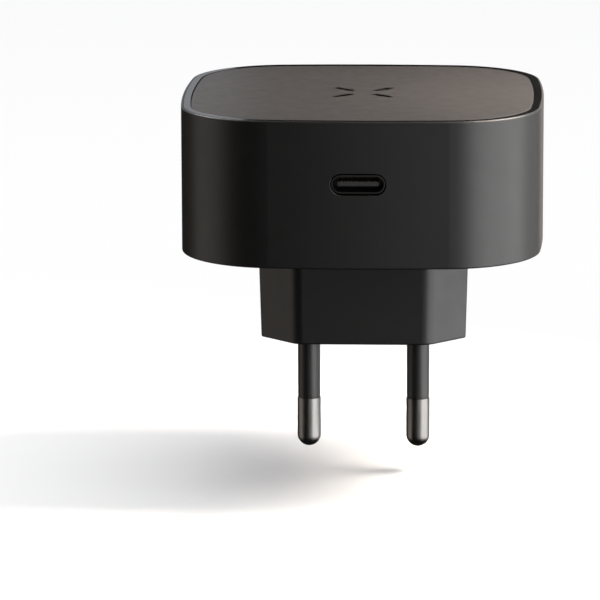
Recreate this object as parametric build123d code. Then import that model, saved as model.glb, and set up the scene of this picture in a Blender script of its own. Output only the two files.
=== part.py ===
from build123d import *

import os
from math import atan2, degrees, sqrt

# A plug-in power adapter in a soft square casing. A two-pin mains plug stands on a hexagonal stem
# under it, a USB-C socket opens in the front wall, and a flat face plate covers a wireless charging
# coil on top.
#
# Millimetres. The origin is the centre of the stem's end face, the face that meets a wall socket.
# +Z runs from the pins up through the casing, X runs along the pair of pins, and -Y is the side with
# the USB-C socket.

# --- Driving dimensions -----------------------------------------------------------------------

PIN_SPACING = 18.6
PIN_LENGTH = 19.0
PIN_RADIUS = 2.0
SLEEVE_LENGTH = 10.5
SLEEVE_RADIUS = 1.9
SLEEVE_TAPER = (0.06, 0.7)
SLEEVE_ROOT = 1.5
SHANK_RADIUS = 1.5

STEM_LENGTH = 17.8
STEM_HALF_WIDTH = 17.4
STEM_HALF_DEPTH = 6.6
STEM_CORNER_CUT = 6.15
STEM_LEAST_FLAT = 0.3
STEM_DRAFT = 0.027
STEM_BROAD_ROUND = 3.0
STEM_NARROW_ROUND = 0.45
STEM_BASE_ROUND = 0.35
STEM_WALL = 1.8
STEM_FLOOR = 3.0

BODY_WIDTH = 60.8
BODY_HEIGHT = 24.45
CORNER_RADIUS = 16.3
SIDE_RADIUS = 200.0
WALL = 1.8
FLOOR = 2.0
LIP = 0.4
LIP_ROOT = 0.8
LIP_HEIGHT = 0.8
TOP_EDGE_ROUND = 0.35
BASE_EDGE_ROUND = 0.3

PORT_HEIGHT = 14.1
PORT_OPENING = (9.2, 3.5)
PORT_FLARE = 0.1
USB_SHELL = (8.94, 3.16)
USB_SHELL_THICKNESS = 0.3
USB_SHELL_LENGTH = 7.3
USB_SHELL_SETBACK = 0.35
USB_TONGUE = (6.69, 0.7)

FACE_INSET = 1.7
FACE_THICKNESS = 0.8
FACE_DROP = 0.05
FACE_GAP = 0.15
RIM_DROP = 0.02
ADHESIVE = 0.15
COVER_FLOOR = 1.4
COVER_SKIRT = 3.0
FIT_GAP = 0.05

BOARD_THICKNESS = 1.6
BOARD_INSET = 2.3
BOSS_HEIGHT = 2.5
BOSS_RADIUS = 2.4
BOSS_AT = 19.5
SCREW_RADIUS = 1.0
SCREW_HEAD_RADIUS = 2.0

OUTPUT_BOARD = (22.0, 14.5, 1.2)
CONTROL_BOARD_INSET = 4.4
CONTROL_BOARD_THICKNESS = 1.0

COIL_TURNS = 10
COIL_INNER_RADIUS = 10.0
COIL_PITCH = 1.1
COIL_WIRE = (0.95, 1.2)
FERRITE_RADIUS = 23.0
FERRITE_THICKNESS = 0.8
CARRIER_RADIUS = 24.5

# --- Places worked out from them --------------------------------------------------------------

HALF = BODY_WIDTH / 2
TOP_Z = STEM_LENGTH + BODY_HEIGHT
FLOOR_Z = STEM_LENGTH + FLOOR
BOARD_Z = FLOOR_Z + BOSS_HEIGHT
BOARD_TOP = BOARD_Z + BOARD_THICKNESS
FACE_TOP = TOP_Z - FACE_DROP
FACE_BASE = FACE_TOP - FACE_THICKNESS
RECESS_Z = FACE_BASE - ADHESIVE
COVER_BASE = RECESS_Z - COVER_FLOOR
LEDGE_Z = COVER_BASE + 0.65
LIP_Z = TOP_Z - LIP_HEIGHT
RIM_TOP = TOP_Z - RIM_DROP
PORT_Z = STEM_LENGTH + PORT_HEIGHT
USB_FRONT = -HALF + USB_SHELL_SETBACK
USB_REAR = USB_FRONT + USB_SHELL_LENGTH
OUTPUT_TOP = PORT_Z - USB_SHELL[1] / 2
OUTPUT_Z = OUTPUT_TOP - OUTPUT_BOARD[2]
OUTPUT_Y = -27.4 + OUTPUT_BOARD[1] / 2
COIL_Z = COVER_BASE - 0.15 - COIL_WIRE[1]
FERRITE_Z = COIL_Z - FERRITE_THICKNESS
CARRIER_Z = FERRITE_Z - 1.0
CONTROL_TOP = CARRIER_Z - 0.6
CONTROL_Z = CONTROL_TOP - CONTROL_BOARD_THICKNESS
COLLAR_TOP = STEM_FLOOR + 1.2
RETAINER_TOP = COLLAR_TOP + 2.0
TAIL_TOP = RETAINER_TOP + 1.8

# --- Where things stand on the boards, seen from above ----------------------------------------

FUSE_AT = (-22.0, -9.0)
THERMISTOR_AT = (-22.2, -14.2)
Y_CAPACITOR_AT = (-14.2, -14.6)
CHOKE_AT = (-12.6, -1.0)
X_CAPACITOR_AT = (-23.4, 4.0)
BRIDGE_AT = (0.2, -0.2)
BULK_CAPACITORS_FROM_X = -14.0
BULK_CAPACITORS_AT_Y = (11.6, 22.2)
CONTROLLER_AT = (1.5, -7.0)
TRANSFORMER_AT = (17.0, 3.0)
OPTOCOUPLER_AT = (-8.2, -15.8)
MOSFET_AT = (6.0, -19.2)
OUTPUT_CAPACITORS_AT = ((15.0, -12.0), (22.2, -11.8))
SLOT_AT = (-2.0, -11.4)
BARRIER_AT = (-2.2, -9.7)
POWER_CHIP_AT = (-7.0, -17.4)
USB_LEG_X = 4.32
USB_LEGS_AT_Y = (USB_REAR - 1.4, USB_REAR - 5.2)
HEADER_AT = (2.5, OUTPUT_Y + OUTPUT_BOARD[1] / 2 - 1.2)
HEADER_PINS_AT = [(HEADER_AT[0] + (step - 2.5) * 2.54, HEADER_AT[1]) for step in range(6)]
RISER_AT = (-24.0, 13.8)
RISER_PINS_AT = [(RISER_AT[0], RISER_AT[1] + (step - 1) * 2.0) for step in range(3)]
RADIO_AT = (-6.0, -1.5)
DRIVERS_AT = [(x, -16.0) for x in (-6.0, 0.0, 6.0)]
CARRIER_PEG_AT = 15.5
POST_X = 3.2

# --- Sizes of the parts on the boards ---------------------------------------------------------

LEG_RADIUS = 0.3
CHOKE_RING = (5.0, 2.8, 4.0)
CHOKE_WIRE = 0.5
CAN_RADIUS = 5.0
CAN_LENGTH = 20.0
OUTPUT_CAN_RADIUS = 3.15
OUTPUT_CAN_HEIGHT = 8.6
CORE_SIZE = (18.0, 16.0, 9.4)
CORE_LEG = 3.0
CORE_BACK = 2.6
CENTRE_LEG = (5.6, 5.0)
CORE_BASE = BOARD_TOP + 0.9
BOBBIN_TUBE = (7.4, 6.8)
PIN_SQUARE = 0.64


# --- Shapes that repeat -----------------------------------------------------------------------


def squircle(inset):
    """The casing's outline moved inwards: four shallow side arcs and four corner arcs, all tangent."""
    side_centre = HALF - SIDE_RADIUS
    reach = SIDE_RADIUS - CORNER_RADIUS
    corner_centre = (side_centre + sqrt(2 * reach**2 - side_centre**2)) / 2
    sweep = degrees(atan2(corner_centre, corner_centre - side_centre))
    side = CenterArc((side_centre, 0), SIDE_RADIUS - inset, -sweep, 2 * sweep)
    corner = CenterArc((corner_centre, corner_centre), CORNER_RADIUS - inset, sweep, 90 - 2 * sweep)
    edges = []
    for quarter in range(4):
        turn = Rot(0, 0, 90 * quarter)
        edges += [turn * side, turn * corner]
    return Face(Wire(edges))


def slab(inset, low, high):
    """A solid of the casing's outline between two heights."""
    return extrude(Pos(0, 0, low) * squircle(inset), amount=high - low, dir=(0, 0, 1))


def stem_outline(grow):
    """The plug stem's outline at its end face, a rectangle with 45 degree corners, grown outwards."""
    half_width = STEM_HALF_WIDTH + grow
    half_depth = STEM_HALF_DEPTH + grow
    cut = min(STEM_CORNER_CUT + grow * (2 - sqrt(2)), half_depth - STEM_LEAST_FLAT)
    return make_face(
        Polyline(
            (half_width, -half_depth + cut),
            (half_width, half_depth - cut),
            (half_width - cut, half_depth),
            (-half_width + cut, half_depth),
            (-half_width, half_depth - cut),
            (-half_width, -half_depth + cut),
            (-half_width + cut, -half_depth),
            (half_width - cut, -half_depth),
            close=True,
        )
    )


def stem_prism(grow, low, high):
    """The stem's drafted form between two heights; its draft is measured from the end face."""
    return loft([Pos(0, 0, z) * stem_outline(grow + z * STEM_DRAFT) for z in (low, high)], ruled=True)


def stadium(size, y, depth, grow=0.0):
    """A slot-shaped bar that runs along +Y from y, at the port's height."""
    width, height = size[0] + 2 * grow, size[1] + 2 * grow
    plane = Plane(origin=(0, y, PORT_Z), x_dir=(1, 0, 0), z_dir=(0, 1, 0))
    return extrude(plane * SlotOverall(width, height), amount=depth)


def block(size, centre, base, round_edges=0.0):
    """A box that stands on base, with its upright edges rounded if asked."""
    made = Pos(*centre, base) * Box(*size, align=(Align.CENTER, Align.CENTER, Align.MIN))
    if round_edges:
        made = fillet(made.edges().filter_by(Axis.Z), round_edges)
    return made


def rod(radius, height, centre, base):
    """A round bar that stands on base."""
    return Pos(*centre, base) * Cylinder(radius, height, align=(Align.CENTER, Align.CENTER, Align.MIN))


def corners(reach):
    """The four places that mirror (reach, reach)."""
    return [(x, y) for x in (-reach, reach) for y in (-reach, reach)]


def legs(radius, places, low, high):
    """Wire legs that stand side by side."""
    return [rod(radius, high - low, place, low) for place in places]


# --- Casing -----------------------------------------------------------------------------------


def body_shell():
    """The tub: walls and base, with the stem's aperture, the port's opening and four board bosses."""
    outer = slab(0, STEM_LENGTH, TOP_Z)
    rims = outer.edges().group_by(Axis.Z)
    outer = fillet(rims[-1], TOP_EDGE_ROUND)
    outer = fillet(outer.edges().group_by(Axis.Z)[0], BASE_EDGE_ROUND)
    shell = outer - slab(WALL, FLOOR_Z, TOP_Z) - slab(LIP_ROOT, LEDGE_Z, TOP_Z) - slab(LIP, LIP_Z, TOP_Z)
    for place in corners(BOSS_AT):
        shell += rod(BOSS_RADIUS, BOSS_HEIGHT, place, FLOOR_Z)
        shell -= rod(SCREW_RADIUS, BOSS_HEIGHT + 1.0, place, FLOOR_Z - 1.0)
    shell -= stem_prism(FIT_GAP, STEM_LENGTH - 1, FLOOR_Z + 1)
    shell -= stadium(PORT_OPENING, -HALF - 1, WALL + 2)
    mouth = Plane(origin=(0, -HALF - PORT_FLARE, PORT_Z), x_dir=(1, 0, 0), z_dir=(0, 1, 0))
    wide = SlotOverall(PORT_OPENING[0] + 4 * PORT_FLARE, PORT_OPENING[1] + 4 * PORT_FLARE)
    return shell - extrude(mouth * wide, amount=2.2 * PORT_FLARE, taper=45)


def plug_stem():
    """The hollow stem: its flange sits on the casing's floor, and its own floor carries the two pins."""
    stem = stem_prism(0, 0, FLOOR_Z)
    upright = stem.edges().filter_by(lambda e: abs(e.center().Z - FLOOR_Z / 2) < 1)
    broad = upright.filter_by(lambda e: abs(e.center().X) < STEM_HALF_WIDTH - 3)
    stem = fillet(broad, STEM_BROAD_ROUND)
    upright = stem.edges().filter_by(lambda e: abs(e.center().Z - FLOOR_Z / 2) < 1)
    narrow = upright.filter_by(lambda e: abs(e.center().X) > STEM_HALF_WIDTH - 1)
    stem = fillet(narrow, STEM_NARROW_ROUND)
    stem = fillet(stem.edges().group_by(Axis.Z)[0], STEM_BASE_ROUND)
    flange = stem_outline(FLOOR_Z * STEM_DRAFT + 1.6)
    stem += extrude(Pos(0, 0, FLOOR_Z) * flange, amount=1.2)
    stem -= stem_prism(-STEM_WALL, STEM_FLOOR, FLOOR_Z + 2)
    for side in (-1, 1):
        place = (side * PIN_SPACING / 2, 0)
        stem -= rod(SLEEVE_RADIUS, SLEEVE_ROOT, place, 0)
        stem -= rod(SHANK_RADIUS, STEM_FLOOR, place, 0)
        post = (side * POST_X, 0)
        stem += rod(1.9, COLLAR_TOP - STEM_FLOOR, post, STEM_FLOOR)
        stem -= rod(0.8, COLLAR_TOP - 1.0, post, 1.0)
    return stem


def top_cover():
    """The lid inside the casing's stepped lip: a flat rim round the face plate's recess, and a skirt."""
    cover = slab(LIP + FIT_GAP, LIP_Z, RIM_TOP) + slab(LIP_ROOT + FIT_GAP, LEDGE_Z, LIP_Z)
    cover += slab(WALL + FIT_GAP, COVER_BASE, LEDGE_Z)
    cover -= slab(FACE_INSET - FACE_GAP, RECESS_Z, TOP_Z)
    skirt = slab(WALL + FIT_GAP, COVER_BASE - COVER_SKIRT, COVER_BASE)
    skirt -= slab(WALL + FIT_GAP + 1.2, COVER_BASE - COVER_SKIRT, COVER_BASE)
    notch = block((14.0, 8.0, COVER_SKIRT + 1), (0, -HALF + 3), COVER_BASE - COVER_SKIRT - 1)
    return cover + (skirt - notch)


def face_plate():
    """The flat satin plate in the lid's recess."""
    plate = slab(FACE_INSET, FACE_BASE, FACE_TOP)
    return chamfer(plate.edges().group_by(Axis.Z)[-1], 0.12)


def face_adhesive():
    """The sheet of adhesive that holds the face plate."""
    return slab(FACE_INSET + 1.0, RECESS_Z, FACE_BASE)


# --- Mains pins -------------------------------------------------------------------------------


def pin(side):
    """A pin: domed bare tip, thinner shank inside its sleeve, collar on the stem's floor, and a tail."""
    tip = PIN_RADIUS
    outline = Polyline(
        (0, TAIL_TOP),
        (1.2, TAIL_TOP),
        (1.2, COLLAR_TOP),
        (2.6, COLLAR_TOP),
        (2.6, STEM_FLOOR),
        (SHANK_RADIUS, STEM_FLOOR),
        (SHANK_RADIUS, -SLEEVE_LENGTH),
        (tip, -SLEEVE_LENGTH),
        (tip, tip - PIN_LENGTH),
    )
    dome = CenterArc((0, tip - PIN_LENGTH), tip, -90, 90)
    axis = Line((0, -PIN_LENGTH), (0, TAIL_TOP))
    profile = make_face([*outline.edges(), dome, axis])
    return Pos(side * PIN_SPACING / 2, 0, 0) * revolve(Plane.XZ * profile, Axis.Z)


def sleeve(side):
    """The insulating sleeve over a pin's upper half, moulded into the stem's floor, tapered at its tip."""
    outline = Polyline(
        (SHANK_RADIUS, SLEEVE_ROOT),
        (SLEEVE_RADIUS, SLEEVE_ROOT),
        (SLEEVE_RADIUS, SLEEVE_TAPER[1] - SLEEVE_LENGTH),
        (SLEEVE_RADIUS - SLEEVE_TAPER[0], -SLEEVE_LENGTH),
        (SHANK_RADIUS, -SLEEVE_LENGTH),
        close=True,
    )
    return Pos(side * PIN_SPACING / 2, 0, 0) * revolve(Plane.XZ * make_face(outline), Axis.Z)


def pin_retainer():
    """The plate that clamps both pin collars to the stem's floor."""
    plate = block((27.0, 6.4, RETAINER_TOP - COLLAR_TOP), (0, 0), COLLAR_TOP, 1.5)
    for side in (-1, 1):
        plate -= rod(1.3, 4, (side * PIN_SPACING / 2, 0), COLLAR_TOP - 1)
        plate -= rod(1.0, 4, (side * POST_X, 0), COLLAR_TOP - 1)
    return plate


def screw(place, under_head, length, shank, head, thickness):
    """A cross-recessed pan-head screw that points down."""
    made = rod(shank, length, place, under_head - length) + rod(head, thickness, place, under_head)
    made = fillet(made.edges().group_by(Axis.Z)[-1], thickness * 0.45)
    slot_top = under_head + thickness
    for turn in (0, 90):
        bar = Box(head * 1.1, head * 0.26, thickness * 1.2)
        made -= Pos(*place, slot_top) * Rot(0, 0, turn) * bar
    return made


def retainer_screws():
    """Two screws through the retainer into the stem's posts."""
    return Compound([screw((side * POST_X, 0), RETAINER_TOP, 4.6, 0.8, 1.6, 0.9) for side in (-1, 1)])


def contact_spring(side):
    """A bent leaf from the main board's underside down to a pin's tail."""
    thickness = 0.4
    x = PIN_SPACING / 2
    top = BOARD_Z - thickness / 2
    low = TAIL_TOP + thickness / 2
    path = FilletPolyline((x - 1.5, top), (x + 2.0, top), (x + 2.0, low), (x - 1.5, low), radius=0.8)
    leaf = extrude(Plane.XZ * trace(path, line_width=thickness), amount=1.5, both=True)
    return leaf if side > 0 else mirror(leaf, Plane.YZ)


# --- Main board and its components ------------------------------------------------------------


def main_board():
    """The mains-side circuit board, on four bosses, with an isolation slot between its two halves."""
    board = slab(BOARD_INSET, BOARD_Z, BOARD_TOP)
    for place in corners(BOSS_AT):
        board -= rod(SCREW_RADIUS + 0.2, 4, place, BOARD_Z - 1)
    return board - block((16.0, 1.2, 4), SLOT_AT, BOARD_Z - 1, 0.59)


def board_screws():
    """Four screws through the main board into the bosses."""
    sizes = (BOARD_TOP, 4.4, SCREW_RADIUS, SCREW_HEAD_RADIUS, 1.3)
    return Compound([screw(place, *sizes) for place in corners(BOSS_AT)])


def fuse():
    """A radial box fuse with two legs."""
    body = block((8.2, 4.0, 7.2), FUSE_AT, BOARD_TOP + 0.4, 0.6)
    places = [(FUSE_AT[0] + side * 2.5, FUSE_AT[1]) for side in (-1, 1)]
    return body + legs(LEG_RADIUS, places, BOARD_TOP, BOARD_TOP + 1)


def disc_part(centre, radius, thickness, along_x):
    """A coated disc on two legs, as a thermistor or a disc capacitor is."""
    height = BOARD_TOP + 1.0 + radius
    lying = Cylinder(radius, thickness)
    disc = fillet(lying.edges(), thickness * 0.35)
    turned = Pos(*centre, height) * (Rot(0, 90, 0) if along_x else Rot(90, 0, 0)) * disc
    step = 2.5
    places = [
        (centre[0], centre[1] + side * step) if along_x else (centre[0] + side * step, centre[1])
        for side in (-1, 1)
    ]
    return turned + legs(LEG_RADIUS, places, BOARD_TOP, height)


def thermistor():
    """The inrush thermistor."""
    return disc_part(THERMISTOR_AT, 3.8, 3.2, False)


def y_capacitor():
    """The disc capacitor across the isolation gap."""
    return disc_part(Y_CAPACITOR_AT, 3.5, 3.2, True)


def choke_core():
    """The filter choke's ring core, lying flat."""
    outer, inner, height = CHOKE_RING
    return rod(outer, height, CHOKE_AT, BOARD_TOP + 1.0) - rod(inner, height, CHOKE_AT, BOARD_TOP + 1.0)


def choke_winding():
    """Two windings on the ring, one on each half, as separate turns of enamelled wire."""
    outer, inner, height = CHOKE_RING
    width = outer - inner + 0.1
    reach = 2 * CHOKE_WIRE
    loop = RectangleRounded(width + reach, height + reach, 0.45) - Rectangle(width, height)
    turn = Rot(90, 0, 0) * extrude(loop.face(), amount=CHOKE_WIRE / 2, both=True)
    centre = Pos(*CHOKE_AT, BOARD_TOP + 1.0 + height / 2)
    angles = [half - 50 + step * 20 for half in (0, 180) for step in range(6)]
    middle = Pos((outer + inner) / 2, 0, 0)
    return Compound([centre * Rot(0, 0, angle) * middle * turn for angle in angles])


def x_capacitor():
    """The box-shaped interference capacitor."""
    body = block((6.0, 13.0, 9.6), X_CAPACITOR_AT, BOARD_TOP + 0.4, 0.5)
    places = [(X_CAPACITOR_AT[0], X_CAPACITOR_AT[1] + side * 5.0) for side in (-1, 1)]
    return body + legs(LEG_RADIUS, places, BOARD_TOP, BOARD_TOP + 1)


def gull_leads(centre, count, pitch, width, reach):
    """Two rows of bent leads, along X, at both sides of a chip that is 2 * reach deep."""
    foot, thickness = 1.3, 0.25
    leads = []
    for side in (-1, 1):
        for step in range(count):
            x = centre[0] + (step - (count - 1) / 2) * pitch
            foot_y = centre[1] + side * (reach + foot / 2)
            shin_y = centre[1] + side * (reach + 0.1)
            leads.append(block((width, foot, thickness), (x, foot_y), BOARD_TOP))
            leads.append(block((width, thickness, 0.9), (x, shin_y), BOARD_TOP))
    return leads


def bridge_rectifier():
    """A flat four-lead bridge rectifier."""
    body = block((7.6, 6.0, 2.4), BRIDGE_AT, BOARD_TOP + 0.15, 0.2)
    return body + gull_leads(BRIDGE_AT, 2, 5.2, 1.0, 3.0)


def bulk_capacitors():
    """Two electrolytic capacitors that lie on the board, each with a groove by its seal."""
    groove = 0.5
    outline = Polyline(
        (0, 0),
        (CAN_RADIUS, 0),
        (CAN_RADIUS, 1.2),
        (CAN_RADIUS - groove, 1.6),
        (CAN_RADIUS - groove, 2.0),
        (CAN_RADIUS, 2.4),
        (CAN_RADIUS, CAN_LENGTH),
        (0, CAN_LENGTH),
        close=True,
    )
    can = Rot(0, 90, 0) * revolve(Plane.XZ * make_face(outline), Axis.Z)
    height = BOARD_TOP + 0.1 + CAN_RADIUS
    return Compound([Pos(BULK_CAPACITORS_FROM_X, y, height) * can for y in BULK_CAPACITORS_AT_Y])


def switching_controller():
    """The flat power chip on the mains side."""
    return block((6.0, 4.0, 0.9), CONTROLLER_AT, BOARD_TOP, 0.1)


def transformer_core():
    """Two E-shaped ferrite halves that meet at the middle, round the bobbin's tube."""
    width, depth, height = CORE_SIZE
    x, y = TRANSFORMER_AT
    gap = 0.05
    reach = depth / 2 - CORE_BACK - gap
    leg_x = (width - CORE_LEG) / 2
    legs_of_e = ((-leg_x, CORE_LEG, height), (0, *CENTRE_LEG), (leg_x, CORE_LEG, height))
    halves = []
    for side in (-1, 1):
        half = block((width, CORE_BACK, height), (x, y + side * (depth - CORE_BACK) / 2), CORE_BASE)
        for offset, leg, tall in legs_of_e:
            spot = (x + offset, y + side * (gap + reach / 2))
            half += block((leg, reach, tall), spot, CORE_BASE + (height - tall) / 2)
        halves.append(half)
    return Compound(halves)


def transformer_bobbin():
    """The plastic spool between the core's legs, with a foot under each end."""
    x, y = TRANSFORMER_AT
    middle = CORE_BASE + CORE_SIZE[2] / 2
    length, flange = 10.2, 0.7
    flange_width, flange_height = 11.4, 9.2
    hole = Pos(x, y, middle) * Box(CENTRE_LEG[0] + 0.2, CORE_SIZE[1], CENTRE_LEG[1] + 0.2)
    spool = Pos(x, y, middle) * Box(BOBBIN_TUBE[0], length, BOBBIN_TUBE[1])
    for side in (-1, 1):
        end_y = y + side * (length - flange) / 2
        spool += Pos(x, end_y, middle) * Box(flange_width, flange, flange_height)
        spool += block((flange_width, flange, 1.4), (x, end_y), BOARD_TOP + 0.2)
        spool += block((flange_width, 6.0, 0.5), (x, y + side * 7.4), BOARD_TOP + 0.2)
        spool += block((flange_width, 2.4, 0.8), (x, y + side * 9.3), BOARD_TOP)
    return spool - hole


def transformer_winding():
    """The taped winding on the bobbin's tube."""
    x, y = TRANSFORMER_AT
    centre = Pos(x, y, CORE_BASE + CORE_SIZE[2] / 2)
    coil = centre * Box(11.0, 8.8, 9.0)
    coil = fillet(coil.edges().filter_by(Axis.Y), 1.2)
    return coil - centre * Box(BOBBIN_TUBE[0], 10, BOBBIN_TUBE[1])


def optocoupler():
    """The four-lead optocoupler beside the isolation slot."""
    body = block((4.4, 6.4, 2.6), OPTOCOUPLER_AT, BOARD_TOP + 0.4, 0.1)
    return body + gull_leads(OPTOCOUPLER_AT, 2, 2.4, 0.6, 3.2)


def rectifier_mosfet():
    """The synchronous rectifier chip on the output side."""
    body = block((4.9, 3.9, 1.3), MOSFET_AT, BOARD_TOP + 0.15, 0.1)
    return body + gull_leads(MOSFET_AT, 4, 1.27, 0.4, 1.95)


def output_capacitors():
    """Two polymer capacitors, upright cans with a groove above the base."""
    cans = []
    groove, low = 0.35, BOARD_TOP + 1.6
    for place in OUTPUT_CAPACITORS_AT:
        can = rod(OUTPUT_CAN_RADIUS, OUTPUT_CAN_HEIGHT, place, BOARD_TOP)
        can = fillet(can.edges().group_by(Axis.Z)[-1], 0.4)
        ring = rod(OUTPUT_CAN_RADIUS + 1, 0.6, place, low)
        ring -= rod(OUTPUT_CAN_RADIUS - groove, 0.6, place, low)
        cans.append(can - ring)
    return Compound(cans)


def isolation_barrier():
    """The plastic wall between the mains side and the output side."""
    return block((17.6, 0.8, 9.8), BARRIER_AT, BOARD_TOP, 0.2)


# --- Output board and USB-C socket ------------------------------------------------------------


def output_board():
    """The small raised board that the USB-C socket is soldered to."""
    width, depth, thickness = OUTPUT_BOARD
    board = block((width, depth, thickness), (0, OUTPUT_Y), OUTPUT_Z, 1.0)
    for x in (-USB_LEG_X, USB_LEG_X):
        for y in USB_LEGS_AT_Y:
            board -= block((0.5, 1.2, thickness), (x, y), OUTPUT_Z)
    for place in HEADER_PINS_AT:
        board -= block((PIN_SQUARE + 0.06, PIN_SQUARE + 0.06, thickness), place, OUTPUT_Z)
    return board


def pin_header(size, centre, places, top):
    """A row of square pins from the main board up to a height, with its spacer bar."""
    header = block(size, centre, BOARD_TOP)
    for place in places:
        header += block((PIN_SQUARE, PIN_SQUARE, top - BOARD_TOP), place, BOARD_TOP)
    return header


def output_header():
    """The pins between the main board and the output board."""
    return pin_header((15.24, 2.4, 2.5), HEADER_AT, HEADER_PINS_AT, OUTPUT_TOP + 0.6)


def usb_shell():
    """The drawn steel shell of the USB-C socket, with four legs into the output board."""
    thickness = USB_SHELL_THICKNESS
    shell = stadium(USB_SHELL, USB_FRONT, USB_SHELL_LENGTH)
    shell = fillet(shell.edges().group_by(Axis.Y)[0], 0.1)
    shell -= stadium(USB_SHELL, USB_FRONT - 1, USB_SHELL_LENGTH + 2, -thickness)
    leg = Box(thickness, 0.9, 3.0, align=(Align.CENTER, Align.CENTER, Align.MAX))
    for x in (-USB_LEG_X, USB_LEG_X):
        for y in USB_LEGS_AT_Y:
            shell += Pos(x, y, PORT_Z) * leg
    return shell


def usb_insulator():
    """The plastic block that closes the socket's rear."""
    depth = 2.6
    return stadium(USB_SHELL, USB_REAR - depth, depth, -USB_SHELL_THICKNESS)


def usb_tongue():
    """The socket's middle tongue, with a thicker root."""
    width, height = USB_TONGUE
    front = USB_FRONT + 0.55
    root = USB_REAR - 2.6
    plane = Plane(origin=(0, front, PORT_Z), x_dir=(1, 0, 0), z_dir=(0, 1, 0))
    tongue = extrude(plane * RectangleRounded(width, height, 0.2), amount=root - front)
    collar_plane = Plane(origin=(0, root - 0.7, PORT_Z), x_dir=(1, 0, 0), z_dir=(0, 1, 0))
    return tongue + extrude(collar_plane * RectangleRounded(width + 0.5, 1.3, 0.3), amount=0.7)


def usb_contacts():
    """Twelve gilt contacts on each side of the tongue."""
    pads = []
    length, width, thickness = 3.0, 0.25, 0.06
    for side in (-1, 1):
        for step in range(12):
            x = (step - 5.5) * 0.5
            y = USB_FRONT + 0.95 + length / 2
            z = PORT_Z + side * (USB_TONGUE[1] / 2 + thickness / 2)
            pads.append(Pos(x, y, z) * Box(width, length, thickness))
    return Compound(pads)


def power_chip():
    """The USB power delivery chip on the output board."""
    return block((4.0, 4.0, 0.8), POWER_CHIP_AT, OUTPUT_TOP, 0.1)


# --- Charging coil and control board ----------------------------------------------------------


def charging_coil():
    """The flat coil under the lid, one ring of flat-pressed wire for each turn."""
    turns = []
    width, height = COIL_WIRE
    for turn in range(COIL_TURNS):
        inner = COIL_INNER_RADIUS + turn * COIL_PITCH
        turns.append(rod(inner + width, height, (0, 0), COIL_Z) - rod(inner, height, (0, 0), COIL_Z))
    return Compound(turns)


def ferrite_shield():
    """The ferrite disc behind the coil."""
    return rod(FERRITE_RADIUS, FERRITE_THICKNESS, (0, 0), FERRITE_Z)


def coil_carrier():
    """The tray that holds coil and ferrite, with four pegs down through the control board."""
    low = CARRIER_Z
    tray = rod(CARRIER_RADIUS, COVER_BASE - 0.1 - low, (0, 0), low)
    tray -= rod(FERRITE_RADIUS + 0.1, COVER_BASE, (0, 0), FERRITE_Z)
    for place in corners(CARRIER_PEG_AT):
        tray += rod(1.6, CARRIER_Z - CONTROL_TOP, place, CONTROL_TOP)
        tray += rod(0.9, CONTROL_TOP - CONTROL_Z + 0.6, place, CONTROL_Z - 0.6)
    return tray


def control_board():
    """The board that drives the coil and carries the radio module."""
    board = slab(CONTROL_BOARD_INSET, CONTROL_Z, CONTROL_TOP)
    for place in corners(CARRIER_PEG_AT):
        board -= rod(1.0, 4, place, CONTROL_Z - 1)
    for place in RISER_PINS_AT:
        board -= block((PIN_SQUARE + 0.06, PIN_SQUARE + 0.06, 4), place, CONTROL_Z - 1)
    return board


def control_header():
    """The tall pins that join the main board to the control board."""
    return pin_header((2.0, 6.2, 2.5), RISER_AT, RISER_PINS_AT, CONTROL_TOP + 0.3)


def radio_module():
    """The radio module under the control board: its own board and a shield over most of it."""
    x, y = RADIO_AT
    base = block((13.0, 10.0, 0.6), RADIO_AT, CONTROL_Z - 0.6, 0.3)
    return base + block((10.0, 9.0, 1.5), (x - 1.2, y), CONTROL_Z - 2.1, 0.4)


def coil_driver_chips():
    """Three driver chips in a row under the control board."""
    return Compound([block((3.4, 3.4, 0.8), place, CONTROL_Z - 0.8, 0.1) for place in DRIVERS_AT])


def thermal_pad():
    """The soft pad between the transformer and the control board."""
    core_top = CORE_BASE + CORE_SIZE[2]
    return block((16.0, 14.0, CONTROL_Z - core_top), TRANSFORMER_AT, core_top)


PARTS = {
    "body_shell": body_shell,
    "plug_stem": plug_stem,
    "top_cover": top_cover,
    "face_plate": face_plate,
    "face_adhesive": face_adhesive,
    "live_pin": lambda: pin(1),
    "neutral_pin": lambda: pin(-1),
    "live_pin_sleeve": lambda: sleeve(1),
    "neutral_pin_sleeve": lambda: sleeve(-1),
    "pin_retainer": pin_retainer,
    "retainer_screws": retainer_screws,
    "live_contact_spring": lambda: contact_spring(1),
    "neutral_contact_spring": lambda: contact_spring(-1),
    "main_board": main_board,
    "board_screws": board_screws,
    "fuse": fuse,
    "thermistor": thermistor,
    "y_capacitor": y_capacitor,
    "choke_core": choke_core,
    "choke_winding": choke_winding,
    "x_capacitor": x_capacitor,
    "bridge_rectifier": bridge_rectifier,
    "bulk_capacitors": bulk_capacitors,
    "switching_controller": switching_controller,
    "transformer_core": transformer_core,
    "transformer_bobbin": transformer_bobbin,
    "transformer_winding": transformer_winding,
    "optocoupler": optocoupler,
    "rectifier_mosfet": rectifier_mosfet,
    "output_capacitors": output_capacitors,
    "isolation_barrier": isolation_barrier,
    "output_board": output_board,
    "output_header": output_header,
    "usb_shell": usb_shell,
    "usb_insulator": usb_insulator,
    "usb_tongue": usb_tongue,
    "usb_contacts": usb_contacts,
    "power_chip": power_chip,
    "charging_coil": charging_coil,
    "ferrite_shield": ferrite_shield,
    "coil_carrier": coil_carrier,
    "control_board": control_board,
    "control_header": control_header,
    "radio_module": radio_module,
    "coil_driver_chips": coil_driver_chips,
    "thermal_pad": thermal_pad,
}


def main():
    os.makedirs("parts", exist_ok=True)
    for name, make in PARTS.items():
        export_step(make(), f"parts/{name}.step")


main()
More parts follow.
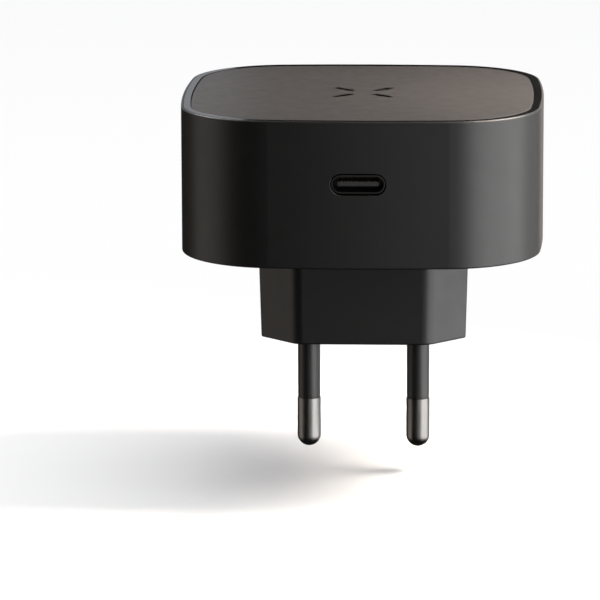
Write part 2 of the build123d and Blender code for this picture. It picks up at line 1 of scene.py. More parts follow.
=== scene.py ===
from math import cos, pi, radians, sin

import bmesh
import bpy
from bpy.props import FloatProperty, FloatVectorProperty, IntProperty, PointerProperty
from mathutils import Matrix, Vector


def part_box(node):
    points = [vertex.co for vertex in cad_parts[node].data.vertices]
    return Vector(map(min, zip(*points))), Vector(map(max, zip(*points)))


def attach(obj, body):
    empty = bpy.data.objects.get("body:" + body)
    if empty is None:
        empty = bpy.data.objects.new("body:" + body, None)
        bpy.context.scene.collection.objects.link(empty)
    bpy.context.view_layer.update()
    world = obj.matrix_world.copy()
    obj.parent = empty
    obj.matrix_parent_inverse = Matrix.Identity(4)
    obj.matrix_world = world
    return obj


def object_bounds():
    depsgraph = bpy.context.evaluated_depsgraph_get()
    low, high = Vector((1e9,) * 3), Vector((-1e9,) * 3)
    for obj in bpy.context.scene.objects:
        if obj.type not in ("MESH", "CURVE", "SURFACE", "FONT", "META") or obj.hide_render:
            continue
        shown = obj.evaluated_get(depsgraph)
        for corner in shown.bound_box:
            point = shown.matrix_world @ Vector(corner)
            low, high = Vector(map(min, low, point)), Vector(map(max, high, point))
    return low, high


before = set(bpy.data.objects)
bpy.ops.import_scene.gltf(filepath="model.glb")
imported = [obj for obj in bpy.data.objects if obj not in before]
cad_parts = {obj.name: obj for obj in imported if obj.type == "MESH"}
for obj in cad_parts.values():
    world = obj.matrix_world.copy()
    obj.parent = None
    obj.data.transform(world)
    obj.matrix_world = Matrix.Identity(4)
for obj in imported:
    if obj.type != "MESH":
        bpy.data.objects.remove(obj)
cad_low, cad_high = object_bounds()

bl_info = {
    "name": "Charging plug finishes",
    "version": (1, 0, 0),
    "blender": (4, 5, 0),
    "location": "3D View > Sidebar > Charging Plug",
    "description": "Finishes, printed mark and studio for a plug-in power adapter",
    "category": "Object",
}

MM = 0.001
INK_THICKNESS = 0.012 * MM
STROKE_END_CORNERS = 24
BANDS_PER_UNIT = 20  # a band texture of scale 1 repeats this many times in a metre
STEM_EXTRA_ROUGHNESS = 0.04
FLOOR_HALF_WIDTH = 6.0
FAR_WALLS = 0.02
HALF_TURN = 180
plate_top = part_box("face_plate")[1].z
pin_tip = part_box("live_pin")[0].z


# --- Settings -------------------------------------------------------------------------------------


class CasingSettings(bpy.types.PropertyGroup):
    """Finish of the moulded casing, its stem and its rim."""

    wall_colour: FloatVectorProperty(
        name="Wall colour",
        description="Colour of the satin casing and the plug stem",
        default=(0.0035, 0.0033, 0.0032),
        subtype="COLOR",
        min=0,
        max=1,
    )
    wall_roughness: FloatProperty(
        name="Wall roughness",
        description="How blurred the casing's reflections are",
        default=0.40,
        min=0,
        max=1,
    )
    rim_colour: FloatVectorProperty(
        name="Rim colour",
        description="Colour of the polished rim round the face plate",
        default=(0.0035, 0.0035, 0.0035),
        subtype="COLOR",
        min=0,
        max=1,
    )
    grain: FloatProperty(
        name="Moulded grain",
        description="Spacing of the fine texture left by the mould",
        default=0.12 * MM,
        unit="LENGTH",
        precision=5,
    )


class PlateSettings(bpy.types.PropertyGroup):
    """Finish of the face plate and the size of its printed mark."""

    plate_colour: FloatVectorProperty(
        name="Plate colour",
        description="Colour of the satin face plate",
        default=(0.028, 0.0253, 0.0245),
        subtype="COLOR",
        min=0,
        max=1,
    )
    plate_roughness: FloatProperty(
        name="Plate roughness",
        description="How blurred the plate's reflections are",
        default=0.42,
        min=0,
        max=1,
    )
    mark_reach: FloatProperty(
        name="Mark reach",
        description="Distance from the plate's centre to the outer end of each stroke",
        default=7.0 * MM,
        unit="LENGTH",
        precision=5,
    )
    mark_gap: FloatProperty(
        name="Mark gap",
        description="Distance from the plate's centre to the inner end of each stroke",
        default=2.4 * MM,
        unit="LENGTH",
        precision=5,
    )
    mark_width: FloatProperty(
        name="Stroke width",
        description="Width of each stroke",
        default=1.2 * MM,
        unit="LENGTH",
        precision=5,
    )
    mark_strokes: IntProperty(
        name="Strokes", description="Number of strokes in the mark", default=4, min=2, max=12
    )


class MetalSettings(bpy.types.PropertyGroup):
    """Finish of the pins and the socket's metal."""

    nickel_colour: FloatVectorProperty(
        name="Nickel colour",
        description="Colour of the plated pin ends",
        default=(0.20, 0.194, 0.187),
        subtype="COLOR",
        min=0,
        max=1,
    )
    turning_pitch: FloatProperty(
        name="Turning pitch",
        description="Spacing of the fine lines that turning leaves round a pin",
        default=0.09 * MM,
        unit="LENGTH",
        precision=5,
    )
    contact_colour: FloatVectorProperty(
        name="Contact colour",
        description="Colour of the gilt contacts",
        default=(0.24, 0.17, 0.08),
        subtype="COLOR",
        min=0,
        max=1,
    )


class StudioSettings(bpy.types.PropertyGroup):
    """Camera, floor and lights."""

    lens: FloatProperty(name="Lens", description="Focal length in millimetres", default=278.7)
    distance: FloatProperty(
        name="Distance", description="From the aim point to the camera", default=0.7913, unit="LENGTH"
    )
    azimuth: FloatProperty(
        name="Azimuth",
        description="Camera's turn to the right of the front",
        default=radians(2.446),
        subtype="ANGLE",
    )
    elevation: FloatProperty(
        name="Elevation",
        description="Camera's angle above the horizon",
        default=radians(11.82),
        subtype="ANGLE",
    )
    roll: FloatProperty(
        name="Roll", description="Camera's turn about its view", default=radians(-0.18), subtype="ANGLE"
    )
    aim: FloatVectorProperty(
        name="Aim point",
        description="The point that the camera looks at",
        default=(-0.01082, 0.0, 0.00635),
        subtype="XYZ",
    )
    floor_drop: FloatProperty(
        name="Floor drop", description="Gap between the pins and the floor", default=4.5 * MM, unit="LENGTH"
    )
    ambient: FloatProperty(name="Ambient", description="Even light on dull surfaces", default=0.75, min=0)
    overhead: FloatProperty(
        name="Overhead", description="Brightness of the light over the floor", default=1.8, min=0
    )


SETTINGS = {
    "plug_casing": CasingSettings,
    "plug_plate": PlateSettings,
    "plug_metal": MetalSettings,
    "plug_studio": StudioSettings,
}


# --- Material building ----------------------------------------------------------------------------


class Finish:
    """A new material with its shader and short calls for the nodes that the finishes share."""

    def __init__(self, name, colour, roughness, **sockets):
        self.material = bpy.data.materials.new(name)
        self.material.use_nodes = True
        self.tree = self.material.node_tree
        self.shader = self.tree.nodes["Principled BSDF"]
        self.set("Base Color", (*colour, 1))
        self.set("Roughness", roughness)
        for socket, value in sockets.items():
            self.set(socket.replace("_", " "), value)
        self.place = self.node("ShaderNodeTexCoord").outputs["Object"]
        self.bumps = None

    def set(self, socket, value):
        self.shader.inputs[socket].default_value = value

    def node(self, kind, **settings):
        made = self.tree.nodes.new(kind)
        for name, value in settings.items():
            setattr(made, name, value)
        return made

    def wire(self, source, target):
        self.tree.links.new(source, target)

    def stretched(self, scale):
        """Object coordinates stretched by a scale along each axis."""
        mapping = self.node("ShaderNodeMapping")
        mapping.inputs["Scale"].default_value = scale
        self.wire(self.place, mapping.inputs["Vector"])
        return mapping.outputs["Vector"]

    def noise(self, spacing, detail=3.0, scale=(1, 1, 1), roughness=0.55):
        """Noise whose features are about spacing apart."""
        made = self.node("ShaderNodeTexNoise")
        made.inputs["Scale"].default_value = 1 / spacing
        made.inputs["Detail"].default_value = detail
        made.inputs["Roughness"].default_value = roughness
        self.wire(self.stretched(scale), made.inputs["Vector"])
        return made.outputs["Fac"]

    def between(self, value, low, high, start=0.3, end=0.7):
        """Maps start..end of a value to low..high."""
        made = self.node("ShaderNodeMapRange")
        made.inputs["From Min"].default_value = start
        made.inputs["From Max"].default_value = end
        made.inputs["To Min"].default_value = low
        made.inputs["To Max"].default_value = high
        self.wire(value, made.inputs["Value"])
        return made.outputs["Result"]

    def tint(self, value, dark, light):
        """A colour between two, picked by a value."""
        made = self.node("ShaderNodeMix", data_type="RGBA")
        made.inputs["A"].default_value = (*dark, 1)
        made.inputs["B"].default_value = (*light, 1)
        self.wire(value, made.inputs["Factor"])
        return made.outputs["Result"]

    def colour(self, output):
        self.wire(output, self.shader.inputs["Base Color"])
        return self

    def roughness(self, output):
        self.wire(output, self.shader.inputs["Roughness"])
        return self

    def bump(self, height, depth, strength=1.0):
        """Adds relief of a depth in metres under the relief that is there."""
        made = self.node("ShaderNodeBump")
        made.inputs["Strength"].default_value = strength
        made.inputs["Distance"].default_value = depth
        self.wire(height, made.inputs["Height"])
        if self.bumps:
            self.wire(self.bumps, made.inputs["Normal"])
        self.bumps = made.outputs["Normal"]
        self.wire(self.bumps, self.shader.inputs["Normal"])
        return self


def shade(colour, factor):
    return tuple(min(1.0, channel * factor) for channel in colour)


# --- Finishes of the visible pieces ---------------------------------------------------------------


def satin_casing(name, colour, roughness, grain):
    """Moulded plastic with a fine spark-eroded grain and faint handling marks."""
    made = Finish(name, colour, roughness, Specular_IOR_Level=0.5)
    fine = made.noise(grain, detail=2.0)
    cloudy = made.noise(14 * MM, detail=4.0)
    made.colour(made.tint(made.between(cloudy, 0, 1), shade(colour, 0.9), shade(colour, 1.15)))
    made.roughness(made.between(made.noise(3 * MM, detail=6.0), roughness - 0.025, roughness + 0.025))
    return made.bump(fine, 0.004 * MM, 0.35).material


def polished_rim(colour):
    """Polished plastic, with hairline swirls that only show in a highlight."""
    made = Finish("polished_rim", colour, 0.09, Specular_IOR_Level=0.5)
    hairline = made.noise(0.8 * MM, detail=8.0, scale=(1, 9, 1), roughness=0.7)
    made.roughness(made.between(hairline, 0.07, 0.13))
    made.colour(made.tint(made.between(made.noise(9 * MM), 0, 1), shade(colour, 0.85), shade(colour, 1.2)))
    return made.bump(made.noise(1.6 * MM, detail=1.0), 0.003 * MM, 0.15).material


def satin_plate(colour, roughness):
    """The face plate's soft coating: a very fine even grain and slow cloudy changes."""
    made = Finish("satin_plate", colour, roughness, Specular_IOR_Level=0.5)
    cloudy = made.noise(18 * MM, detail=3.0)
    made.colour(made.tint(made.between(cloudy, 0, 1), shade(colour, 0.93), shade(colour, 1.08)))
    made.roughness(made.between(made.noise(2.5 * MM, detail=6.0), roughness - 0.02, roughness + 0.03))
    return made.bump(made.noise(0.10 * MM, detail=2.0), 0.003 * MM, 0.35).material


def sleeve_plastic():
    """Smooth moulded sleeve with faint length-wise draw marks."""
    made = Finish("sleeve_plastic", (0.006, 0.0057, 0.0056), 0.40, Specular_IOR_Level=0.5)
    drawn = made.noise(0.35 * MM, detail=3.0, scale=(1, 1, 0.06))
    made.roughness(made.between(drawn, 0.35, 0.45))
    grain = made.between(made.noise(4 * MM), 0, 1)
    made.colour(made.tint(grain, (0.005, 0.0048, 0.0047), (0.008, 0.0076, 0.0074)))
    return made.bump(drawn, 0.004 * MM, 0.3).material


def turned_nickel(colour, pitch):
    """Nickel plate over fine turning lines, a little duller where contacts have rubbed."""
    made = Finish("turned_nickel", colour, 0.32, Metallic=1.0)
    lines = made.node("ShaderNodeTexWave", wave_type="BANDS", bands_direction="Z")
    lines.inputs["Scale"].default_value = 1 / pitch / BANDS_PER_UNIT
    lines.inputs["Distortion"].default_value = 0.6
    made.wire(made.stretched((1, 1, 1)), lines.inputs["Vector"])
    rubbed = made.noise(0.5 * MM, detail=5.0, scale=(1, 1, 0.12), roughness=0.65)
    specks = made.noise(0.12 * MM, detail=2.0)
    made.colour(made.tint(made.between(rubbed, 0, 1, 0.35, 0.65), shade(colour, 0.80), shade(colour, 1.08)))
    made.roughness(made.between(rubbed, 0.27, 0.42))
    made.bump(lines.outputs["Fac"], 0.002 * MM, 0.5)
    return made.bump(specks, 0.003 * MM, 0.4).material


def socket_steel():
    """Dark plated sheet steel with drawing marks along its depth."""
    made = Finish("socket_steel", (0.05, 0.048, 0.047), 0.32, Metallic=1.0)
    drawn = made.noise(0.2 * MM, detail=4.0, scale=(1, 0.08, 1))
    made.colour(made.tint(made.between(drawn, 0, 1), (0.038, 0.036, 0.035), (0.062, 0.060, 0.058)))
    made.roughness(made.between(drawn, 0.26, 0.38))
    return made.bump(drawn, 0.003 * MM, 0.4).material


def gilt(colour):
    """Gold plate, brighter where it is worn smooth."""
    made = Finish("gilt", colour, 0.25, Metallic=1.0)
    worn = made.noise(0.3 * MM, detail=4.0, scale=(1, 0.2, 1))
    made.colour(made.tint(made.between(worn, 0, 1), shade(colour, 0.8), shade(colour, 1.1)))
    return made.roughness(made.between(worn, 0.18, 0.34)).material


def printed_ink():
    """Dense dark ink, less reflective than the plate and speckled all over."""
    made = Finish("printed_ink", (0.006, 0.0055, 0.0055), 0.45, Specular_IOR_Level=0.15)
    speckle = made.noise(0.07 * MM, detail=3.0)
    made.colour(made.tint(made.between(speckle, 0, 1), (0.005, 0.0045, 0.0045), (0.009, 0.008, 0.008)))
    return made.roughness(made.between(speckle, 0.38, 0.52)).material


# --- Finishes of the pieces inside ----------------------------------------------------------------


def moulded(name, colour, roughness=0.5, spacing=0.2 * MM, depth=0.006 * MM):
    """Plain moulded or sintered stock with a grain of its own."""
    made = Finish(name, colour, roughness)
    cloudy = made.noise(4 * MM, detail=4.0)
    made.colour(made.tint(made.between(cloudy, 0, 1), shade(colour, 0.85), shade(colour, 1.18)))
    made.roughness(made.between(made.noise(1.2 * MM, detail=5.0), roughness - 0.06, roughness + 0.06))
    return made.bump(made.noise(spacing, detail=3.0), depth, 0.4).material


def metal(name, colour, roughness=0.3, grain=(1, 1, 0.1)):
    """Drawn or rolled metal with its marks along one direction."""
    made = Finish(name, colour, roughness, Metallic=1.0)
    marks = made.noise(0.3 * MM, detail=5.0, scale=grain)
    made.colour(made.tint(made.between(marks, 0, 1), shade(colour, 0.8), shade(colour, 1.12)))
    made.roughness(made.between(marks, roughness - 0.08, roughness + 0.1))
    return made.bump(marks, 0.003 * MM, 0.4).material


def circuit_board(name, mask, copper):
    """Solder mask over copper: square-cut tracks show as a lighter, slightly raised pattern."""
    made = Finish(name, mask, 0.32)
    cells = made.node("ShaderNodeTexVoronoi", distance="CHEBYCHEV", feature="F1")
    cells.inputs["Scale"].default_value = 1 / (2.4 * MM)
    made.wire(made.stretched((1, 1, 0.01)), cells.inputs["Vector"])
    tracks = made.between(cells.outputs["Distance"], 0, 1, 0.30, 0.34)
    made.colour(made.tint(tracks, mask, copper))
    made.roughness(made.between(made.noise(0.4 * MM, detail=4.0), 0.26, 0.40))
    return made.bump(tracks, 0.02 * MM, 0.5).material


def wound_copper(name, scale):
    """Enamelled copper wire, its strands as fine ridges along the winding."""
    made = Finish(name, (0.56, 0.22, 0.09), 0.3, Metallic=1.0)
    strands = made.noise(0.12 * MM, detail=3.0, scale=scale)
    made.colour(made.tint(made.between(strands, 0, 1), (0.40, 0.14, 0.05), (0.68, 0.29, 0.12)))
    made.roughness(made.between(strands, 0.24, 0.42))
    return made.bump(strands, 0.02 * MM, 0.6).material


def inner_finishes():
    """Every sealed piece's finish, by the node that wears it."""
    board = circuit_board("green_board", (0.010, 0.090, 0.035), (0.022, 0.150, 0.055))
    blue = circuit_board("blue_board", (0.008, 0.030, 0.100), (0.016, 0.055, 0.160))
    ferrite = moulded("ferrite", (0.040, 0.040, 0.043), 0.6, 0.15 * MM, 0.010 * MM)
    chip = moulded("chip_epoxy", (0.014, 0.014, 0.015), 0.55, 0.10 * MM)
    header = moulded("header_plastic", (0.020, 0.020, 0.020), 0.45)
    steel = metal("zinc_steel", (0.58, 0.58, 0.57), 0.3, (1, 1, 1))
    brass = metal("spring_brass", (0.70, 0.50, 0.22), 0.28, (1, 0.1, 1))
    return {
        "face_adhesive": moulded("adhesive_foam", (0.50, 0.50, 0.47), 0.8, 0.3 * MM, 0.03 * MM),
        "pin_retainer": moulded("glass_filled", (0.28, 0.27, 0.25), 0.55),
        "retainer_screws": steel,
        "board_screws": steel,
        "live_contact_spring": brass,
        "neutral_contact_spring": brass,
        "main_board": board,
        "output_board": board,
        "control_board": blue,
        "fuse": moulded("fuse_case", (0.075, 0.030, 0.018), 0.35),
        "thermistor": moulded("green_lacquer", (0.030, 0.110, 0.030), 0.28, 0.5 * MM, 0.02 * MM),
        "y_capacitor": moulded("blue_lacquer", (0.020, 0.110, 0.330), 0.25, 0.5 * MM, 0.02 * MM),
        "x_capacitor": moulded("film_box_yellow", (0.62, 0.42, 0.04), 0.4),
        "choke_core": ferrite,
        "transformer_core": ferrite,
        "ferrite_shield": ferrite,
        "choke_winding": wound_copper("choke_wire", (1, 1, 1)),
        "charging_coil": wound_copper("litz_wire", (1, 1, 1)),
        "bridge_rectifier": chip,
        "switching_controller": chip,
        "optocoupler": chip,
        "rectifier_mosfet": chip,
        "power_chip": chip,
        "coil_driver_chips": chip,
        "bulk_capacitors": moulded("shrink_film", (0.016, 0.016, 0.026), 0.22, 1.0 * MM),
        "output_capacitors": metal("can_aluminium", (0.76, 0.76, 0.77), 0.24),
        "transformer_bobbin": moulded("phenolic", (0.30, 0.18, 0.08), 0.5),
        "transformer_winding": moulded("polyester_tape", (0.70, 0.48, 0.05), 0.25, 1.5 * MM, 0.03 * MM),
        "isolation_barrier": moulded("barrier_sheet", (0.66, 0.66, 0.62), 0.5),
        "output_header": header,
        "control_header": header,
        "coil_carrier": moulded("carrier_plastic", (0.030, 0.030, 0.031), 0.5),
        "radio_module": metal("tinned_shield", (0.62, 0.62, 0.60), 0.35, (1, 0.15, 1)),
        "thermal_pad": moulded("thermal_pad", (0.24, 0.29, 0.36), 0.7, 0.3 * MM, 0.02 * MM),
    }


def dress(node, material):
    """Gives a CAD node's object a material in every slot."""
    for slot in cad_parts[node].material_slots:
        slot.material = material


# --- Geometry Nodes -------------------------------------------------------------------------------


class Tree:
    """A new geometry node group with named inputs for its sizes."""

    def __init__(self, name, sizes):
        self.group = bpy.data.node_groups.new(name, "GeometryNodeTree")
        socket = self.group.interface.new_socket
        socket("Geometry", in_out="OUTPUT", socket_type="NodeSocketGeometry")
        self.identifiers = {}
        for label, value in sizes.items():
            kind = "NodeSocketInt" if isinstance(value, int) else "NodeSocketFloat"
            made = socket(label, in_out="INPUT", socket_type=kind)
            made.default_value = value
            self.identifiers[label] = made.identifier
        self.values = sizes
        self.start = self.node("NodeGroupInput")
        self.end = self.node("NodeGroupOutput")

    def node(self, kind, **settings):
        made = self.group.nodes.new(kind)
        for name, value in settings.items():
            setattr(made, name, value)
        return made

    def wire(self, source, target):
        self.group.links.new(source, target)

    def size(self, label):
        return self.start.outputs[label]

    def maths(self, operation, *values):
        made = self.node("ShaderNodeMath", operation=operation)
        for socket, value in zip(made.inputs, values):
            if isinstance(value, (int, float)):
                socket.default_value = value
            else:
                self.wire(value, socket)
        return made.outputs[0]

    def vector(self, **axes):
        made = self.node("ShaderNodeCombineXYZ")
        for axis, value in axes.items():
            if isinstance(value, (int, float)):
                made.inputs[axis].default_value = value
            else:
                self.wire(value, made.inputs[axis])
        return made.outputs[0]

    def finish(self, geometry, material, name):
        """Realizes the instances, sets the material, and returns the result as a plain mesh object."""
        real = self.node("GeometryNodeRealizeInstances")
        paint = self.node("GeometryNodeSetMaterial")
        paint.inputs["Material"].default_value = material
        self.wire(geometry, real.inputs[0])
        self.wire(real.outputs[0], paint.inputs["Geometry"])
        self.wire(paint.outputs[0], self.end.inputs[0])
        holder = bpy.data.objects.new(name, bpy.data.meshes.new(name))
        bpy.context.scene.collection.objects.link(holder)
        modifier = holder.modifiers.new("Build", "NODES")
        modifier.node_group = self.group
        for label, value in self.values.items():
            modifier[self.identifiers[label]] = value
        depsgraph = bpy.context.evaluated_depsgraph_get()
        mesh = bpy.data.meshes.new_from_object(holder.evaluated_get(depsgraph))
        bpy.data.objects.remove(holder)
        mesh.name = name
        made = bpy.data.objects.new(name, mesh)
        bpy.context.scene.collection.objects.link(made)
        return made


def build_alignment_mark(settings, material):
    """Short printed strokes that point at the plate's centre, where a device is laid."""
    sizes = {
        "Strokes": settings.mark_strokes,
        "Gap": settings.mark_gap,
        "Reach": settings.mark_reach,
        "Width": settings.mark_width,
        "Height": plate_top,
        "Ink": INK_THICKNESS,
    }
    tree = Tree("Alignment mark", sizes)
    # one stroke: a slot-shaped outline, filled and given the ink's thickness
    half = tree.maths("MULTIPLY", tree.size("Width"), 0.5)
    line = tree.node("GeometryNodeCurvePrimitiveLine")
    tree.wire(tree.vector(X=tree.maths("ADD", tree.size("Gap"), half)), line.inputs["Start"])
    tree.wire(tree.vector(X=tree.maths("SUBTRACT", tree.size("Reach"), half)), line.inputs["End"])
    count = tree.node("GeometryNodeResampleCurve")
    count.inputs["Count"].default_value = 2
    tree.wire(line.outputs[0], count.inputs["Curve"])
    ends = tree.node("GeometryNodeInstanceOnPoints")
    disc = tree.node("GeometryNodeMeshCircle", fill_type="NGON")
    disc.inputs["Vertices"].default_value = STROKE_END_CORNERS
    tree.wire(half, disc.inputs["Radius"])
    tree.wire(count.outputs[0], ends.inputs["Points"])
    tree.wire(disc.outputs[0], ends.inputs["Instance"])
    loose = tree.node("GeometryNodeRealizeInstances")
    tree.wire(ends.outputs[0], loose.inputs[0])
    hull = tree.node("GeometryNodeConvexHull")
    tree.wire(loose.outputs[0], hull.inputs[0])
    extrude = tree.node("GeometryNodeExtrudeMesh")
    extrude.inputs["Individual"].default_value = False
    tree.wire(hull.outputs[0], extrude.inputs["Mesh"])
    tree.wire(tree.size("Ink"), extrude.inputs["Offset Scale"])
    # the strokes stand round the centre
    points = tree.node("GeometryNodePoints")
    tree.wire(tree.size("Strokes"), points.inputs["Count"])
    tree.wire(tree.vector(Z=tree.size("Height")), points.inputs["Position"])
    index = tree.node("GeometryNodeInputIndex")
    step = tree.maths("DIVIDE", 2 * pi, tree.size("Strokes"))
    turn = tree.maths("MULTIPLY", tree.maths("ADD", index.outputs[0], 0.5), step)
    spread = tree.node("GeometryNodeInstanceOnPoints")
    tree.wire(points.outputs[0], spread.inputs["Points"])
    tree.wire(extrude.outputs["Mesh"], spread.inputs["Instance"])
    tree.wire(tree.vector(Z=turn), spread.inputs["Rotation"])
    return tree.finish(spread.outputs[0], material, "alignment_mark")


# --- Stage ----------------------------------------------------------------------------------------


def direction(azimuth, elevation):
    """Unit vector into the studio: azimuth 0 is in front of the object, a quarter turn is at its right."""
    level = cos(elevation)
    return Vector((sin(azimuth) * level, -cos(azimuth) * level, sin(elevation)))


def softbox(
    name, azimuth, elevation, distance, size, radiance, colour, dull=False, glossy=True, spread=HALF_TURN
):
    """A rectangular light facing the object: glossy ones are reflected, dull ones light matt surfaces."""
    centre = (cad_low + cad_high) / 2
    lamp = bpy.data.lights.new(name, "AREA")
    lamp.shape = "RECTANGLE"
    lamp.size, lamp.size_y = size
    lamp.energy = radiance * size[0] * size[1] * pi
    lamp.color = colour
    lamp.spread = radians(spread)
    made = bpy.data.objects.new(name, lamp)
    towards = direction(radians(azimuth), radians(elevation))
    made.location = centre + towards * distance
    made.rotation_euler = towards.to_track_quat("Z", "Y").to_euler()
    made.visible_camera = False
    made.visible_diffuse = dull
    made.visible_glossy = glossy
    bpy.context.scene.collection.objects.link(made)


def studio_world(ambient):
    """Pale to the camera, even light to dull surfaces, and dark in reflections, as far walls are."""
    world = bpy.data.worlds.new("studio")
    world.use_nodes = True
    tree = world.node_tree
    background = tree.nodes["Background"]
    path = tree.nodes.new("ShaderNodeLightPath")
    dull = tree.nodes.new("ShaderNodeMath")
    dull.operation = "MULTIPLY"
    dull.inputs[1].default_value = ambient
    seen = tree.nodes.new("ShaderNodeMath")
    seen.operation = "MAXIMUM"
    least = tree.nodes.new("ShaderNodeMath")
    least.operation = "MAXIMUM"
    least.inputs[1].default_value = FAR_WALLS
    tree.links.new(path.outputs["Is Diffuse Ray"], dull.inputs[0])
    tree.links.new(dull.outputs[0], seen.inputs[0])
    tree.links.new(path.outputs["Is Camera Ray"], seen.inputs[1])
    tree.links.new(seen.outputs[0], least.inputs[0])
    tree.links.new(least.outputs[0], background.inputs["Strength"])
    background.inputs["Color"].default_value = (1, 1, 1, 1)
    bpy.context.scene.world = world


def floor_piece(height):
    """A wide pale floor."""
    mesh = bpy.data.meshes.new("floor")
    made = bpy.data.objects.new("floor", mesh)
    grid = bmesh.new()
    bmesh.ops.create_grid(grid, x_segments=8, y_segments=8, size=FLOOR_HALF_WIDTH)
    bmesh.ops.translate(grid, vec=(0, 0, height), verts=grid.verts)
    grid.to_mesh(mesh)
    grid.free()
    paint = Finish("pale_floor", (0.86, 0.86, 0.865), 0.9, Specular_IOR_Level=0.0)
    paint.roughness(paint.between(paint.noise(30 * MM), 0.85, 0.95))
    mesh.materials.append(paint.material)
    bpy.context.scene.collection.objects.link(made)
    made.visible_glossy = False


WHITE = (1.0, 1.0, 1.0)
WARM = (1.0, 0.90, 0.82)
COOL = (0.90, 0.94, 1.0)

SOFTBOXES = {
    "right_key": dict(
        azimuth=70, elevation=0, distance=0.60, size=(0.92, 0.84), radiance=4.1, colour=WHITE
    ),
    "front_fill": dict(
        azimuth=14, elevation=0, distance=0.60, size=(0.36, 0.84), radiance=0.62, colour=WHITE
    ),
    "side_back": dict(
        azimuth=126, elevation=0, distance=0.60, size=(0.36, 0.84), radiance=0.9, colour=WHITE
    ),
    "warm_back": dict(
        azimuth=164, elevation=4, distance=0.60, size=(0.25, 0.70), radiance=0.9, colour=WARM
    ),
    "near_right": dict(
        azimuth=90, elevation=50, distance=0.12, size=(0.08, 0.08), radiance=5.6, colour=WARM,
        dull=True, spread=70,
    ),
    "left_fill": dict(
        azimuth=-88, elevation=-2, distance=0.60, size=(0.52, 0.80), radiance=0.75, colour=WARM
    ),
    "back_left_card": dict(
        azimuth=-152, elevation=25, distance=0.125, size=(0.06, 0.06), radiance=0.5, colour=COOL
    ),
    "upper_left": dict(
        azimuth=-119, elevation=46, distance=0.60, size=(0.22, 0.22), radiance=18.0, colour=WHITE
    ),
    "upper_right": dict(
        azimuth=119, elevation=46, distance=0.60, size=(0.22, 0.22), radiance=3.0, colour=WHITE
    ),
}


def place_camera(settings):
    """A long lens at the settings' distance and angles from the aim point."""
    lens = bpy.data.cameras.new("camera")
    lens.lens = settings.lens
    lens.sensor_width = 36.0
    lens.clip_start, lens.clip_end = 0.01, 50.0
    made = bpy.data.objects.new("camera", lens)
    back = direction(settings.azimuth, settings.elevation)
    made.location = Vector(settings.aim) + back * settings.distance
    turn = (-back).to_track_quat("-Z", "Y").to_matrix() @ Matrix.Rotation(settings.roll, 3, "Z")
    made.rotation_euler = turn.to_euler()
    bpy.context.scene.collection.objects.link(made)
    bpy.context.scene.camera = made


# --- Operators ------------------------------------------------------------------------------------


class PLUG_OT_casing(bpy.types.Operator):
    """Finish the casing, the plug stem and the polished rim"""

    bl_idname = "plug.casing"
    bl_label = "Casing"

    def execute(self, context):
        settings = context.scene.plug_casing
        stem_roughness = settings.wall_roughness + STEM_EXTRA_ROUGHNESS
        wall = satin_casing("satin_casing", settings.wall_colour, settings.wall_roughness, settings.grain)
        stem = satin_casing("satin_stem", settings.wall_colour, stem_roughness, settings.grain)
        dress("body_shell", wall)
        dress("plug_stem", stem)
        dress("top_cover", polished_rim(settings.rim_colour))
        return {"FINISHED"}


class PLUG_OT_face_plate(bpy.types.Operator):
    """Finish the face plate and print the alignment mark on it"""

    bl_idname = "plug.face_plate"
    bl_label = "Face plate"

    def execute(self, context):
        settings = context.scene.plug_plate
        dress("face_plate", satin_plate(settings.plate_colour, settings.plate_roughness))
        mark = build_alignment_mark(settings, printed_ink())
        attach(mark, "root")
        return {"FINISHED"}


class PLUG_OT_pins(bpy.types.Operator):
    """Finish the two mains pins and their sleeves"""

    bl_idname = "plug.pins"
    bl_label = "Pins"

    def execute(self, context):
        settings = context.scene.plug_metal
        nickel = turned_nickel(settings.nickel_colour, settings.turning_pitch)
        sleeve = sleeve_plastic()
        for side in ("live", "neutral"):
            dress(f"{side}_pin", nickel)
            dress(f"{side}_pin_sleeve", sleeve)
        return {"FINISHED"}


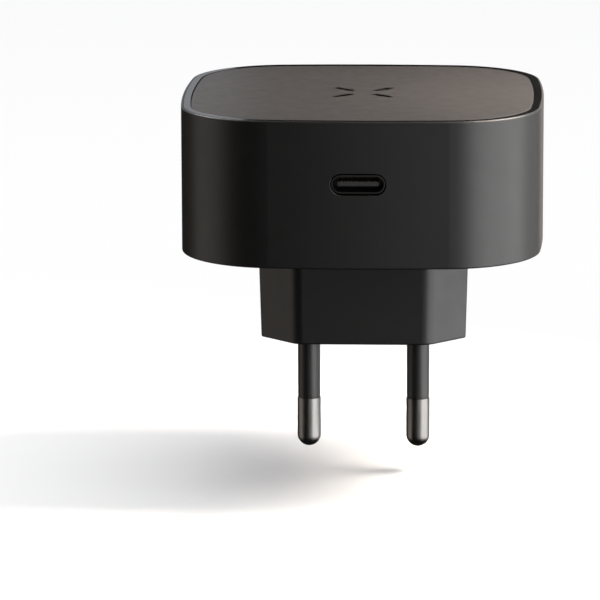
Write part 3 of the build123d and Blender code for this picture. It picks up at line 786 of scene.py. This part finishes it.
class PLUG_OT_socket(bpy.types.Operator):
    """Finish the USB-C socket's shell, insulator, tongue and contacts"""

    bl_idname = "plug.socket"
    bl_label = "USB-C socket"

    def execute(self, context):
        dress("usb_shell", socket_steel())
        dress("usb_insulator", moulded("socket_insulator", (0.010, 0.010, 0.010), 0.5))
        dress("usb_tongue", moulded("socket_tongue", (0.022, 0.021, 0.021), 0.42, 0.08 * MM, 0.003 * MM))
        dress("usb_contacts", gilt(context.scene.plug_metal.contact_colour))
        return {"FINISHED"}


class PLUG_OT_inside(bpy.types.Operator):
    """Finish the boards, coils and components sealed inside the casing"""

    bl_idname = "plug.inside"
    bl_label = "Inside"

    def execute(self, context):
        for node, material in inner_finishes().items():
            dress(node, material)
        return {"FINISHED"}


class PLUG_OT_stage(bpy.types.Operator):
    """Set up the floor, the lights and the camera"""

    bl_idname = "plug.stage"
    bl_label = "Stage"

    def execute(self, context):
        settings = context.scene.plug_studio
        context.scene.view_settings.view_transform = "Standard"
        studio_world(settings.ambient)
        floor_piece(pin_tip - settings.floor_drop)
        for name, places in SOFTBOXES.items():
            softbox(name, **places)
        softbox("overhead", 0, 90, 1.60, (1.6, 1.6), settings.overhead, WHITE, dull=True, glossy=False)
        place_camera(settings)
        return {"FINISHED"}


OPERATORS = [
    PLUG_OT_casing,
    PLUG_OT_face_plate,
    PLUG_OT_pins,
    PLUG_OT_socket,
    PLUG_OT_inside,
    PLUG_OT_stage,
]


class PLUG_PT_pieces(bpy.types.Panel):
    """Lists the pieces in the order they are made"""

    bl_label = "Charging Plug"
    bl_idname = "PLUG_PT_pieces"
    bl_space_type = "VIEW_3D"
    bl_region_type = "UI"
    bl_category = "Charging Plug"

    def draw(self, context):
        for operator in OPERATORS:
            self.layout.operator(operator.bl_idname)
        for name, group in SETTINGS.items():
            box = self.layout.box()
            box.label(text=group.__doc__.rstrip("."))
            for key in group.__annotations__:
                box.prop(getattr(context.scene, name), key)


CLASSES = [*SETTINGS.values(), *OPERATORS, PLUG_PT_pieces]


def register():
    for item in CLASSES:
        bpy.utils.register_class(item)
    for name, group in SETTINGS.items():
        setattr(bpy.types.Scene, name, PointerProperty(type=group))


def unregister():
    for name in SETTINGS:
        delattr(bpy.types.Scene, name)
    for item in reversed(CLASSES):
        bpy.utils.unregister_class(item)


def main():
    register()
    for operator in OPERATORS:
        getattr(bpy.ops.plug, operator.bl_idname.split(".")[1])()


if __name__ == "__main__":
    main()
